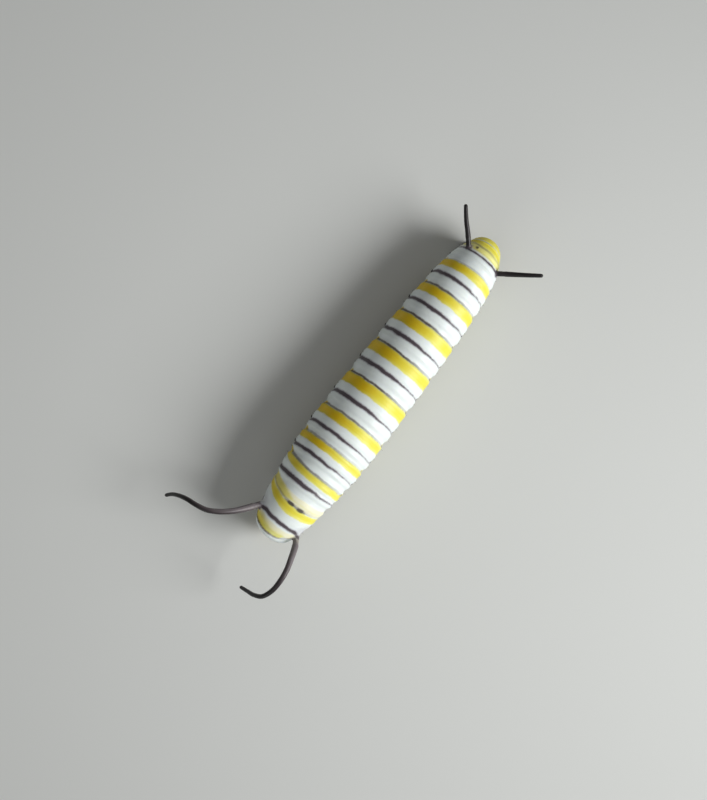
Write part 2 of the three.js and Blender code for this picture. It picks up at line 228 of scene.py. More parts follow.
REAR_SIZE = {
    "root": 0.38, "middle": 0.26, "tip": 0.18, "painted_light_tailward": 0.3, "blend": 0.2, "pale": 0,
    "ash": (0.35, 0.15, 0.05),
}
ASH_AT = (0.15, 0.5, 0.8)


def eased(p, q, m, n, f):
    """A smooth curve from p, where its slope is m, to q, where it is n, at a share f of the way."""
    near = p * (2 * f**3 - 3 * f**2 + 1) + m * (f**3 - 2 * f**2 + f)
    return near + (q * (3 * f**2 - 2 * f**3) + n * (f**3 - f**2))


def sized(t, column):
    """The body's size or place at t, where each whole number begins a segment."""
    t = np.asarray(t, float)
    i = np.clip(np.floor(t).astype(int), 0, LAST - 1)
    f = t - i
    p, q = column[i], column[i + 1]
    m = (q - column[np.maximum(i - 1, 0)]) / 2
    n = (column[np.minimum(i + 2, LAST)] - p) / 2
    return np.where((f < 0) | (f > 1), p + (q - p) * f, eased(p, q, m, n, f))


def relief(t, angle):
    """How far folds and the flank's roll draw the skin in or push it out. The hood's rim has no folds."""
    share = t - np.floor(t)
    k = 1 + WRINKLE["deep"] * np.cos(2 * math.pi * WRINKLE["count"] * share)
    for at, deep, wide in FOLDS:
        off = np.abs(share - at)
        k = k - deep * np.exp(-((np.minimum(off, 1 - off) / wide) ** 2)) * np.clip(t, 0, 1)
    away = (np.degrees(np.abs(angle)) - FLANK["angle"]) / FLANK["spread"]
    wave = 1 - FLANK["wave"] + FLANK["wave"] * np.cos(2 * math.pi * (share - FLANK["middle"]))
    return k + FLANK["swell"] * np.exp(-away * away) * wave


def skin_at(t, angle):
    """Points of the skin at t along the body and an angle from the middle of the back."""
    t, angle = np.broadcast_arrays(np.asarray(t, float), np.asarray(angle, float))
    power = np.where(np.cos(angle) < 0, BELLY_SQUARENESS, 1.0)
    across = np.sign(np.sin(angle)) * np.abs(np.sin(angle)) ** power
    up = np.sign(np.cos(angle)) * np.abs(np.cos(angle)) ** power
    past = np.maximum(np.maximum(0, t - LAST), -t) / DOME
    k = relief(t, angle) * np.sqrt(np.maximum(0, 1 - past**2))
    x = across * (sized(t, WIDE) / 2 * k)
    h = up * (sized(t, TALL) / 2 * k)
    lean = np.radians(sized(t, LEAN))
    return np.stack((x, sized(t, Y) - h * np.sin(lean), sized(t, Z) + h * np.cos(lean)), -1)


HALVINGS = 30


def on_body(points):
    """For each point, t along the body, its angle round it, and how far it is outside the skin. t is
    found by halving, since the leaning rings cannot be solved for it."""
    below, above = np.full(len(points), -DOME), np.full(len(points), LAST + DOME)
    for _ in range(HALVINGS):
        t = (below + above) / 2
        lean = np.radians(sized(t, LEAN))
        ahead = (points[:, 1] - sized(t, Y)) * np.cos(lean) + (points[:, 2] - sized(t, Z)) * np.sin(lean)
        below, above = np.where(ahead > 0, t, below), np.where(ahead > 0, above, t)
    h = (points[:, 2] - sized(t, Z)) * np.cos(lean) - (points[:, 1] - sized(t, Y)) * np.sin(lean)
    angle = np.arctan2(points[:, 0] * sized(t, TALL), h * sized(t, WIDE))
    surface = skin_at(t, angle)
    middle = np.stack((np.zeros(len(t)), sized(t, Y), sized(t, Z)), -1)
    outside = np.linalg.norm(points - middle, axis=1) - np.linalg.norm(surface - middle, axis=1)
    return t, angle, outside


def wrap(bm, rows, sides, place):
    """Rolls a grid into a closed tube: place gives the points for shares along and angles round."""
    made = bmesh.ops.create_grid(bm, x_segments=rows, y_segments=sides, size=1.0)["verts"]
    flat = np.array([v.co for v in made])
    for v, p in zip(made, place((flat[:, 0] + 1) / 2, flat[:, 1] * math.pi)):
        v.co = p
    bmesh.ops.remove_doubles(bm, verts=made, dist=1e-4)
    return bm


class Route:
    """A smooth line through points, with its length, places and the directions across it."""

    def __init__(self, points, samples=400):
        points = np.array(points, float)
        knots = np.concatenate(([0], np.cumsum(np.linalg.norm(np.diff(points, axis=0), axis=1))))
        slopes = np.gradient(points, knots, axis=0)
        u = np.linspace(0, knots[-1], samples)
        i = np.clip(np.searchsorted(knots, u, side="right") - 1, 0, len(knots) - 2)
        span = (knots[i + 1] - knots[i])[:, None]
        f = (u - knots[i])[:, None] / span
        line = eased(points[i], points[i + 1], slopes[i] * span, slopes[i + 1] * span, f)
        lengths = np.concatenate(([0], np.cumsum(np.linalg.norm(np.diff(line, axis=0), axis=1))))
        self.length = lengths[-1]
        self.at = np.linspace(0, self.length, samples)
        self.line = np.stack([np.interp(self.at, lengths, line[:, k]) for k in range(3)], -1)
        self.ahead = np.gradient(self.line, self.at, axis=0)
        self.ahead /= np.linalg.norm(self.ahead, axis=1)[:, None]
        side = np.cross(self.ahead[0], (0.3, 0.2, 1))
        self.side = np.empty_like(self.line)
        for n, direction in enumerate(self.ahead):
            side = side - direction * side.dot(direction)
            side /= np.linalg.norm(side)
            self.side[n] = side
        self.over = np.cross(self.ahead, self.side)

    def sample(self, values, s):
        """Values of the line, or of a direction across it, s millimetres along."""
        return np.stack([np.interp(s, self.at, values[:, k]) for k in range(3)], -1)

    def around(self, s, angle, radius):
        """Points at a radius round the line, s millimetres along it."""
        across = self.sample(self.side, s) * np.cos(angle)[:, None]
        across += self.sample(self.over, s) * np.sin(angle)[:, None]
        return self.sample(self.line, s) + across * np.asarray(radius)[:, None]

    def nearest(self, points):
        """For each point, the length along the line where it is nearest, and its distance. Blocks of
        points are held against every few places of the line, and then the nearest is refined."""
        block, few = 4000, 4
        best = np.empty(len(points), int)
        for start in range(0, len(points), block):
            gaps = ((points[start : start + block, None, :] - self.line[None, ::few]) ** 2).sum(2)
            best[start : start + block] = gaps.argmin(1) * few
        away = points - self.line[best]
        s = np.clip(self.at[best] + (away * self.ahead[best]).sum(1), 0, self.length)
        return s, np.linalg.norm(points - self.sample(self.line, s), axis=1)


def feeler_radius(route, size, s):
    """A feeler's radius: swollen at its root, tapering, and round at its tip."""
    share = np.asarray(s) / route.length
    radius = size["middle"] + (size["root"] - size["middle"]) * (1 - share) ** 5
    radius = radius - (size["middle"] - size["tip"]) * share**2
    left = np.clip((route.length - s) / size["tip"], 0, 1)
    return radius * np.sqrt(1 - (1 - left) ** 2)


def ringed_tube(bm, route, steps, rings, sides):
    """A round tube along a route, with a ring's radius at each step."""

    def place(u, angle):
        row = np.round(u * (len(steps) - 1)).astype(int)
        return route.around(steps[row], angle, rings[row])

    return wrap(bm, len(steps) - 1, sides, place)


def limb(bm, route, radius, rows, sides):
    """A round limb along a route, closed at both ends, whose rows crowd towards its tip."""
    steps = np.concatenate(([0], np.linspace(0, 1, rows - 1) ** 0.85 * route.length))
    return ringed_tube(bm, route, steps, np.concatenate(([0], radius(steps[1:]))), sides)


def foot_places(size, y, side):
    """The place function of a fleshy foot, whose rows run down from inside the body to its sole."""
    shares, widths = np.array(FOOT_PROFILE).T
    shares = np.concatenate((shares[:1], shares, shares[-1:]))
    widths = np.concatenate(((0,), widths, (0,)))

    def place(u, angle):
        at = u * (len(shares) - 1)
        share = np.interp(at, range(len(shares)), shares)
        width = np.interp(at, range(len(shares)), widths)
        rise = 1 - share
        x = side * (size["out"] - rise * size["splay"]) + np.sin(angle) * width * size["wide"]
        along = y + np.cos(angle) * width * size["long"] + rise * size["back"]
        return np.stack((x, along, rise * size["top"]), -1)

    return place


def piece_of(name, bm, material, nodes=()):
    """Closes a mesh, lays it in the frame and makes it an object that stands for its CAD nodes."""
    bmesh.ops.recalc_face_normals(bm, faces=bm.faces[:])
    for v in bm.verts:
        v.co = placed(*v.co)
    made = bpy.data.meshes.new(name)
    bm.to_mesh(made)
    bm.free()
    made.shade_smooth()
    made.materials.append(material)
    piece = bpy.data.objects.new(name, made)
    bpy.context.collection.objects.link(piece)
    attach(piece, "root")
    if nodes:
        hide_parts(*nodes)
    return piece


def note(mesh, name, values):
    """Writes a number for each point of a mesh, which its material reads."""
    mesh.attributes.new(name, "FLOAT", "POINT").data.foreach_set("value", np.asarray(values, "f"))


feelers = [
    (Route(FRONT_LEFT), FRONT_SIZE),
    (Route(FRONT_RIGHT), FRONT_SIZE),
    (Route(REAR_LEFT), REAR_SIZE),
    (Route(REAR_RIGHT), REAR_SIZE),
]
feet = [(FOOT, float(sized(t, Y)), side) for t in FEET_AT for side in (-1, 1)]
feet += [(TAIL_FOOT, TAIL_FOOT_Y, side) for side in (-1, 1)]

dome_in = -DOME * np.cos(np.linspace(0, math.pi / 2, DOME_ROWS))
dome_out = LAST + DOME * np.sin(np.linspace(0, math.pi / 2, DOME_ROWS))
stations = np.concatenate((dome_in[:-1], np.linspace(0, LAST, TUBE_GRID[0]), dome_out[1:]))
tube = wrap(
    bmesh.new(), len(stations) - 1, TUBE_GRID[1],
    lambda u, angle: skin_at(np.interp(u * (len(stations) - 1), range(len(stations)), stations), angle),
)
for route, size in feelers:
    limb(tube, route, lambda s: feeler_radius(route, size, s), *FEELER_GRID)
for size, y, side in feet:
    wrap(tube, *FOOT_GRID, foot_places(size, y, side))
bmesh.ops.recalc_face_normals(tube, faces=tube.faces[:])
joined = bpy.data.meshes.new("tubes")
tube.to_mesh(joined)
tube.free()
rough = bpy.data.objects.new("tubes", joined)
bpy.context.collection.objects.link(rough)
merge = rough.modifiers.new("one hide", "REMESH")
merge.mode, merge.voxel_size = "VOXEL", VOXEL
hide = bpy.data.meshes.new_from_object(rough.evaluated_get(bpy.context.evaluated_depsgraph_get()))
bpy.data.objects.remove(rough)

points = np.empty(len(hide.vertices) * 3, "f")
hide.vertices.foreach_get("co", points)
points = points.reshape(-1, 3).astype(float)
t, angle, outside = on_body(points)


def ramp(values, start, end):
    """0 up to start, 1 from end, and a smooth rise between them."""
    share = np.clip((values - start) / (end - start), 0, 1)
    return share * share * (3 - 2 * share)


# The hide follows the body's own shape, and each feeler its own, away from where they join. These are
# heights above the body's skin: where its shape ends, the lowest of a feeler's points, the highest
# place for its root, and where it takes the feeler's own shape.
BODY_ENDS, FEELER_FROM, ROOT_BELOW, FEELER_SHAPED = (0.04, 0.12), 0.05, 0.3, (0.25, 0.5)

bare = 1 - ramp(outside, *BODY_ENDS)
points = points + (skin_at(t, angle) - points) * bare[:, None]
feeler, roots = np.zeros(len(points)), []
for route, size in feelers:
    s, gap = route.nearest(points)
    radius = feeler_radius(route, size, s)
    mine = (gap < radius * 1.5 + 0.08) & (outside > FEELER_FROM)
    root = s[mine & (outside < ROOT_BELOW)].min()
    middle = route.sample(route.line, s)
    roots.append(root)
    grip = mine * ramp(outside, *FEELER_SHAPED) * (s < route.length - size["tip"])
    target = middle + (points - middle) * (radius / np.maximum(gap, 1e-6))[:, None]
    points = points + (target - points) * grip[:, None]
    feeler = np.where(mine, np.maximum(feeler, s - root), feeler)
hide.vertices.foreach_set("co", points.astype("f").ravel())

# The joins are smoothed: all points above the skin up to a little way along the feelers, and then the
# skin round the roots of the front pair, which flares.
JOIN_SMOOTHING, JOIN_FROM, JOIN_REACH = 6, 0.03, 0.9
NECK_SMOOTHING, NECK_START, NECK_REACH = 14, 0.2, 1.1

bm = bmesh.new()
bm.from_mesh(hide)
bm.verts.ensure_lookup_table()
joins = [bm.verts[i] for i in np.nonzero((outside > JOIN_FROM) & (feeler < JOIN_REACH))[0]]
at_root = [route.sample(route.line, root + NECK_START) for (route, _), root in zip(feelers[:2], roots)]
near_root = np.min([np.linalg.norm(points - spot, axis=1) for spot in at_root], axis=0) < NECK_REACH
necks = [bm.verts[i] for i in np.nonzero(near_root)[0]]
for rounds, verts in ((JOIN_SMOOTHING, joins), (NECK_SMOOTHING, necks)):
    for _ in range(rounds):
        bmesh.ops.smooth_vert(bm, verts=verts, factor=0.5, use_axis_x=True, use_axis_y=True, use_axis_z=True)
for v in bm.verts:
    v.co.z = max(v.co.z, 0)
points = np.array([v.co for v in bm.verts])

# Its colours lie in rings, given as t along the middle of the back: each black line and half its width
# in millimetres, the front and rear of the yellow band behind it, how dark the thin line at the band's
# rear is, and how far that band sweeps back on the right flank. A lone line has its t, half its width,
# how dark it is, and how far it bends back on the right flank and ahead on the left.
RINGS = (
    (1.36, 0.19, 1.575, 1.735, 0.35, 0.85), (2.259, 0.19, 2.481, 2.75, 0.7, 0.75),
    (3.315, 0.17, 3.639, 3.918, 0.5, 0.1), (4.322, 0.17, 4.619, 4.889, 0.8, 0.0),
    (5.328, 0.19, 5.612, 5.895, 1.0, 0.0), (6.326, 0.19, 6.597, 6.9, 1.0, 0.1),
    (7.324, 0.19, 7.599, 7.905, 1.0, 0.0), (8.344, 0.18, 8.628, 8.92, 0.9, 0.0),
    (9.355, 0.17, 9.59, 9.869, 0.3, 0.0), (10.67, 0.1, 11.5, 12.25, 0.3, 0.3),
)
LONE_LINES = ((0.93, 0.08, 0.9, -0.15, -1.3), (11.4, 0.12, 0.5, 0.8, 0.0))
# Bands without a black line: front, rear and sweep.
TAIL_GOLD, TAIL_PALE = (12.36, 14.5, 0.3), (10.9, 11.6, 0.5)
CREAM_BANDS = ((1.08, 1.26, 0.0), (1.76, 1.93, 0.85))
# The hood's gold is an arc, a patch on its right side, and a pale edge. Each has its t, half its width
# and what it gains on the right, and how it bends. The arc and the edge end on the left.
HOOD_MARKS = ((0.99, 0.08, 0.07, -0.15, -1.3), (1.06, -0.1, 0.3, -0.1, 0.0), (1.07, 0.2, 0.16, -0.1, -1.0))
HOOD_GAINS, HOOD_ENDS = (0.0, 1.7), (0.8, 1.9)
# Black lines thin out on the lit left flank, as painted glare, and spread below. The first runs into both
# feelers' roots.
GLARE_THINNING = {"by": 0.16, "across": (-1.2, 3.1), "down": (72, 100)}
BELLY_SPREAD = {"by": 4, "down": (100, 150)}
NECK_LINE = {"glare_share": 0.4, "bends": (-0.2, 0.6), "tug": 0.75, "up": 0.3}
TAIL_LINE_BENDS = (0.45, -0.15)
# Thin lines end low on the flank and lead to yellow lobes. They are paler high on the lit left flank,
# partly in their own pattern and partly as painted glare.
THIN_HALF, THIN_BEHIND, THIN_ENDS = 0.12, 0.03, (0.35, 78, 90)
THIN_PALER_AND_GLARE = ((-5, 18, 50, 66, 76), (1, 0.6, 0.3, 0.3, 1))
LOBE = {"half": 0.46, "less": 0.16, "swells": (62, 82), "shrinks": (86, 108)}
# The pale patch behind the first band, which shrinks towards the left, the dashes at that band's rear as
# place across, half length and half width, and the dot on the tail as t and degrees round the body.
PATCH = {"t": 1.83, "half": 0.4, "loses": 0.5, "across": (-1.8, 0.3)}
DASH_AT, DASH = 1.75, ((-0.3, 0.42, 0.17), (0.28, 0.8, 0.06), (0.8, 0.38, 0.16))
TAIL_SPOT = {"at": (11.15, -26), "radius": 0.14}
# Round the feelers' roots: black spots, the grey flare of the front pair, and the stem's own colour,
# which begins at a height above the skin and lies close round the middle line.
REAR_SPOT, NECK_SPOT, FLARE = 0.36, 0.36, 1.1
NECK_SPOT_UP, NECK_SPOT_AHEAD, FLARE_BEHIND = 0.5, 0.2, 0.25
STEM_RISES, STEM_WITHIN = (0.03, 0.3), (1.5, 2.3)
# Every edge wanders a little, and marks count as absent this far outside them.
WANDER = {"size": 0.9, "far": 0.09}
FAR_OUT = -0.6

t, angle, outside = on_body(points)
side_x, degrees = points[:, 0], np.degrees(np.abs(angle))
wander = np.array([noise.noise(Vector(p) / WANDER["size"]) for p in points]) * WANDER["far"]
turned_down = 1 - np.cos(np.clip(angle, -1.9, 1.9))


def back_speed(at):
    """How many millimetres of the back one unit of t covers there."""
    step = 0.01
    return np.linalg.norm(skin_at(at + step, 0.0) - skin_at(at - step, 0.0)) / (2 * step)


def inside(at, half, sweep=0.0, forward=0.0):
    """How far inside a ring each point is, in millimetres. sweep moves its right flank back, and forward
    its left flank ahead."""
    swept = (t - at) * back_speed(at) + wander
    swept -= turned_down * np.where(angle < 0, sweep, -forward)
    return np.maximum(half - np.abs(swept), FAR_OUT)


def band_inside(front, rear, sweep=0.0):
    """How far inside a band each point is, in millimetres."""
    middle = (front + rear) / 2
    return inside(middle, (rear - front) / 2 * back_speed(middle), sweep)


def round_spot(radius, middle):
    """How far inside a round spot each point is, in millimetres."""
    return radius - np.linalg.norm(points - middle, axis=1)


# The black lines' thinning on the lit left flank is painted glare.
glare_thinning = GLARE_THINNING["by"] * ramp(side_x, *GLARE_THINNING["across"]) * (1 - ramp(degrees, *GLARE_THINNING["down"]))
spread = 1 + BELLY_SPREAD["by"] * ramp(degrees, *BELLY_SPREAD["down"])
tug = NECK_LINE["tug"] * sum(
    np.exp(-((points - route.sample(route.line, root + NECK_LINE["up"])) ** 2).sum(1) / NECK_LINE["tug"] ** 2)
    for (route, size), root in zip(feelers, roots) if size is FRONT_SIZE
)
(neck_at, neck_half, *_), *body_rings, (tail_at, tail_half, *_) = RINGS
back, ahead = NECK_LINE["bends"]
black = np.max(
    [inside(at, half * spread - glare_thinning) for at, half, *_ in body_rings]
    + [inside(neck_at, neck_half * spread - NECK_LINE["glare_share"] * glare_thinning, back - tug, ahead + tug)]
    + [inside(tail_at, tail_half * spread, *TAIL_LINE_BENDS)],
    axis=0,
)

# A feeler takes its own colour where it rises from the skin, sooner on its side towards the head.
stem, ash_and_painted_light, flare = np.zeros(len(points)), np.zeros(len(points)), np.full(len(points), FAR_OUT)
for (route, size), root in zip(feelers, roots):
    s, gap = route.nearest(points)
    radius = feeler_radius(route, size, s)
    tailward = (points - route.sample(route.line, s))[:, 1] / radius
    share = ramp(outside, *STEM_RISES) * (1 - ramp(gap / radius, *STEM_WITHIN))
    reach = size["blend"] * (1 + size["pale"] * np.clip(tailward + 0.1, 0, 1))
    stem = np.maximum(stem, share * ramp((s - root) / reach, 0, 1))
    # The stem's ash grows along it, and is painted lighter towards the tail and darker towards the head as
    # painted light and shade.
    ash_and_painted_light_here = np.interp(s / route.length, ASH_AT, size["ash"]) + size["painted_light_tailward"] * tailward
    ash_and_painted_light = np.where(share > 0, ash_and_painted_light_here, ash_and_painted_light)
    spot = route.sample(route.line, root)
    if size is REAR_SIZE:
        black = np.maximum(black, round_spot(REAR_SPOT, spot))
    else:
        neck = route.sample(route.line, root + NECK_SPOT_UP) - (0, NECK_SPOT_AHEAD, 0)
        black = np.maximum(black, round_spot(NECK_SPOT, neck))
        flare = np.maximum(flare, round_spot(FLARE, spot + (0, FLARE_BEHIND, 0)))

gains, hood_end = ramp(-side_x, *HOOD_GAINS), ramp(side_x, *HOOD_ENDS)
arc, right_patch, pale_edge = (
    inside(at, half + gain * gains, *bends) for at, half, gain, *bends in HOOD_MARKS
)
yellow = [band_inside(front, rear, sweep) for _, _, front, rear, _, sweep in RINGS]
yellow += [band_inside(*TAIL_GOLD), arc - hood_end, right_patch]
patch = inside(PATCH["t"], PATCH["half"] - PATCH["loses"] * ramp(side_x, *PATCH["across"]), RINGS[0][5])
patch = np.max([patch, band_inside(*TAIL_PALE), pale_edge - hood_end], axis=0)
cream = np.max([band_inside(*band) for band in CREAM_BANDS], axis=0)

lines = [(rear + THIN_BEHIND, THIN_HALF, dark, sweep, 0.0) for _, _, _, rear, dark, sweep in RINGS]
lobe = LOBE["half"] * ramp(degrees, *LOBE["swells"]) * (1 - ramp(degrees, *LOBE["shrinks"])) - LOBE["less"]
yellow = np.max(yellow + [inside(at, lobe, sweep) for at, _, _, sweep, _ in lines[1:-1]], axis=0)
lines += LONE_LINES
end_by, *end_down = THIN_ENDS
round_end = end_by * ramp(degrees, *end_down)
each = np.array([inside(at, half - round_end, sweep, forward) for at, half, _, sweep, forward in lines])
thin = each.max(0)
# A thin line's darkness is its own, made paler high on the lit left flank partly by painted glare.
strength = np.array(lines)[each.argmax(0), 2] * np.interp(np.degrees(angle), *THIN_PALER_AND_GLARE)

tail_t, tail_degrees = TAIL_SPOT["at"]
dash = round_spot(TAIL_SPOT["radius"], skin_at(tail_t, math.radians(tail_degrees)))
off = 1 - inside(DASH_AT, 1.0)
for x, long, half in DASH:
    blob = half * (1 - np.hypot((side_x - x) / long, off / half))
    dash = np.maximum(dash, np.where(degrees < 90, blob, FAR_OUT))

# The feet darken away from the body. The yellow is painted a deeper gold on the right flank as painted shade,
# less so at both ends.
FOOT_DARK = {"gain": 2.5, "rises": (0.05, 0.5), "below": 2.2}
PAINTED_SHADE_SPAN = {"across": (-2.9, 1.7), "ahead": (2.8, 3.4), "behind": (10.6, 11.4)}
LESS_SHADE_AHEAD, LESS_SHADE_BEHIND = 0.5, 0.6

foot = np.clip(FOOT_DARK["gain"] * ramp(outside, *FOOT_DARK["rises"]), 0, 1)
painted_shade = 1 - ramp(side_x, *PAINTED_SHADE_SPAN["across"])
painted_shade *= 1 - LESS_SHADE_AHEAD * (1 - ramp(t, *PAINTED_SHADE_SPAN["ahead"]))
painted_shade *= 1 - LESS_SHADE_BEHIND * ramp(t, *PAINTED_SHADE_SPAN["behind"])
skin_notes = {
    "black": black, "yellow": yellow, "cream": cream, "thin": thin, "strength": strength, "dash": dash,
    "patch": patch, "flare": flare, "painted_shade": painted_shade, "stem": stem, "ash": ash_and_painted_light,
    "foot": np.where(feeler > 0, 0, foot * (points[:, 2] < FOOT_DARK["below"])),
    "along": sized(t, Y), "round": degrees,
}

# Larval skin is a thin, clear, moist cuticle over coloured flesh, grown and stretched from inside. Its
# colours sit below the surface and have soft edges. The cuticle gives a low sheen and fine wrinkles.
skin_finish, tree, shader = finish_of("larval skin", 0.42, Specular_IOR_Level=0.4, Subsurface_Weight=0.1)
shader.inputs["Subsurface Radius"].default_value = (0.5 * MM, 0.45 * MM, 0.3 * MM)
shader.inputs["Subsurface Scale"].default_value = 1.0
read = {name: add(tree, "ShaderNodeAttribute", attribute_name=name).outputs["Fac"] for name in skin_notes}
spot = add(tree, "ShaderNodeTexCoord").outputs["Object"]
# Cloudy blotches, ragged edges and grain, by their sizes in millimetres.
blotch, ragged, grain = (
    add(tree, "ShaderNodeTexNoise", {"Vector": spot, "Scale": 1 / (size * MM), "Detail": 2.0}).outputs["Fac"]
    for size in (1.2, 0.3, 0.11)
)
ragged = add(tree, "ShaderNodeMath", {0: ragged, 1: 0.12, 2: -0.06}, operation="MULTIPLY_ADD").outputs[0]
# The painted shade on the right flank, with the blotches, turns each yellow from lemon to a deeper gold.
deep = add(tree, "ShaderNodeMath", {0: blotch, 1: 0.5, 2: read["painted_shade"]}, operation="MULTIPLY_ADD")
deep = add(tree, "ShaderNodeMapRange", {"Value": deep.outputs[0], "From Min": 0.3, "From Max": 1.1})
core = add(tree, "ShaderNodeMapRange", {"Value": read["yellow"], "From Min": 0.02, "From Max": 0.34})
colour, rich, pale = (
    add(tree, "ShaderNodeMix", {"Factor": factor, 6: one, 7: other}, data_type="RGBA").outputs[2]
    for factor, one, other in (
        (blotch, "#e1eae7", "#eef5f3"),
        (deep.outputs[0], "#e9e04a", "#e6c202"),
        (deep.outputs[0], "#efeb7c", "#dcc62c"),
    )
)
yellows = add(tree, "ShaderNodeMix", {"Factor": core.outputs[0], 6: pale, 7: rich}, data_type="RGBA")

# Each mark is laid over the ones before it: its attribute, its soft edge's two depths, how much it covers.
MARKS = (
    ("flare", "#a9a3ae", -0.1, 0.6, 0.4),
    ("cream", "#f1ecc2", -0.12, 0.12, 0.75),
    ("patch", pale, -0.25, 0.15, 0.85),
    ("yellow", yellows.outputs[2], -0.1, 0.08, 1.0),
    ("thin", "#84766f", -0.14, 0.05, 0.4),
    ("thin", "#43342a", -0.07, 0.09, 0.9),
    ("black", "#918897", -0.19, 0.03, 0.55),
    ("black", "#44373e", -0.08, 0.08, 0.94),
    ("dash", "#3a2f2f", -0.09, 0.06, 0.9),
)
for name, tint, start, end, cover in MARKS:
    depth = add(tree, "ShaderNodeMath", {0: read[name], 1: ragged}, operation="ADD").outputs[0]
    edge = add(tree, "ShaderNodeMapRange", {
        "Value": depth, "From Min": start, "From Max": end, "To Max": cover,
    }, interpolation_type="SMOOTHSTEP").outputs[0]
    if name == "thin":
        edge = add(tree, "ShaderNodeMath", {0: edge, 1: read["strength"]}, operation="MULTIPLY").outputs[0]
    colour = add(tree, "ShaderNodeMix", {"Factor": edge, 6: colour, 7: tint}, data_type="RGBA").outputs[2]

# The fleshy feet are dark, and the feelers ashen at the root and black at the tip, with painted light on
# their tailward side and painted shade on their headward side.
ash = add(tree, "ShaderNodeMath", {0: blotch, 1: 0.3, 2: read["ash"]}, operation="MULTIPLY_ADD").outputs[0]
ashen = add(tree, "ShaderNodeValToRGB", {"Fac": ash}, (
    (0.0, "#0e0b0b"), (0.25, "#171213"), (0.5, "#383033"), (0.8, "#5a5254"), (1.0, "#777072"),
)).outputs["Color"]
for name, tint in (("foot", "#3b3534"), ("stem", ashen)):
    mix = add(tree, "ShaderNodeMix", {"Factor": read[name], 6: colour, 7: tint}, data_type="RGBA")
    colour = mix.outputs[2]
tree.links.new(colour, shader.inputs["Base Color"])

# Creases run round the body, some three to the millimetre along it and each about 30 degrees long.
CREASES = (3.4, 0.035, 1.0)
across = add(tree, "ShaderNodeCombineXYZ", {"X": read["along"], "Y": read["round"]}).outputs[0]
creases = add(tree, "ShaderNodeMapping", {"Vector": across, "Scale": CREASES}).outputs[0]
creases = add(tree, "ShaderNodeTexNoise", {"Vector": creases, "Scale": 1.0, "Detail": 3.0}).outputs["Fac"]
height = add(tree, "ShaderNodeMath", {0: grain, 1: 0.25, 2: creases}, operation="MULTIPLY_ADD").outputs[0]
bump = add(tree, "ShaderNodeBump", {"Height": height, "Strength": 0.5, "Distance": 0.06 * MM})
tree.links.new(bump.outputs["Normal"], shader.inputs["Normal"])
moist = add(tree, "ShaderNodeMapRange", {"Value": blotch, "To Min": 0.34, "To Max": 0.52}).outputs[0]
tree.links.new(moist, shader.inputs["Roughness"])

flesh_nodes = [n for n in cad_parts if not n.startswith(("head", "antenna", "leg_"))]
skin = piece_of("skin", bm, skin_finish, flesh_nodes)
for name, values in skin_notes.items():
    note(skin.data, name, values)

# The breathing holes: one on each side of the hood and of the first eight segments of the abdomen, each
# a black hard oval rim round a dark felted slit, low on the flank.
SPIRACLES_AT = (0.5, 3.42, 4.42, 5.42, 6.42, 7.42, 8.42, 9.42, 10.42)
SPIRACLE_ANGLE, SPIRACLE_SIZE = 106, (0.15, 0.26, 1.0)
SPIRACLE_PROFILE = (
    (0.0, 0.03), (0.35, 0.03), (0.55, 0.035), (0.7, 0.07), (0.82, 0.085), (0.93, 0.06), (1.0, 0.0),
    (0.8, -0.1), (0, -0.1),
)


def turned(bm, profile, sides, at, outward, upward, size=(1.0, 1.0, 1.0)):
    """Turns a profile of radius and height, and sets it at a point with its height along outward.
    size stretches it across, along upward and along outward."""
    outward = np.asarray(outward, float) / np.linalg.norm(outward)
    across = np.cross(upward, outward)
    across /= np.linalg.norm(across)
    upward = np.cross(outward, across)
    radii, heights = np.array(profile, float).T

    def place(u, angle):
        row = np.round(u * (len(radii) - 1)).astype(int)
        x = (radii[row] * np.sin(angle) * size[0])[:, None]
        y = (radii[row] * np.cos(angle) * size[1])[:, None]
        return np.asarray(at) + across * x + upward * y + outward * (heights[row] * size[2])[:, None]

    return wrap(bm, len(radii) - 1, sides, place)


def skin_frame(t, degrees):
    """A point of the skin, the direction out of it, and the direction up the body's side."""
    angle, step = math.radians(degrees), 0.02
    at = skin_at(t, angle)
    along = skin_at(t + step, angle) - skin_at(t - step, angle)
    around = skin_at(t, angle + step) - skin_at(t, angle - step)
    out = np.cross(around, along)
    out /= np.linalg.norm(out)
    middle = np.array((0, sized(t, Y), sized(t, Z)))
    if out.dot(at - middle) < 0:
        out = -out
    return at, out, around * (-1 if degrees > 0 else 1)


bm = bmesh.new()
for t_at in SPIRACLES_AT:
    for side in (-1, 1):
        at, out, up = skin_frame(t_at, side * SPIRACLE_ANGLE)
        turned(bm, SPIRACLE_PROFILE, 28, at, out, up, SPIRACLE_SIZE)

# Black cuticle is skin that has hardened and tanned, and its gloss outlines the rim of each hole.
spiracle_finish, tree, shader = finish_of("black cuticle", 0.3, "#1a1514", Coat_Weight=0.3)
spot = add(tree, "ShaderNodeTexCoord").outputs["Object"]
pores = add(tree, "ShaderNodeTexNoise", {"Vector": spot, "Scale": 1 / (0.05 * MM), "Detail": 2.0})
bump = add(tree, "ShaderNodeBump", {"Height": pores.outputs["Fac"], "Strength": 0.3, "Distance": 0.02 * MM})
tree.links.new(bump.outputs["Normal"], shader.inputs["Normal"])
piece_of("breathing_holes", bm, spiracle_finish)

# The hairs: sparse, short and stiff, each a dark bristle that stands out of the skin. They are drawn a
# little thicker than real ones, which are too fine to show.
HAIR_ROWS = (0.18, 0.52, 0.86)
HAIR_ANGLES = (88, 104, 118, 134, 150)
HAIR_LENGTH, HAIR_RADIUS, HAIR_ROOT = 0.24, 0.009, -0.02
HAIR_STRAYS = {"t": 0.06, "degrees": 5, "tilt": 0.25, "length": (0.6, 1.1)}
chance = random.Random(5)

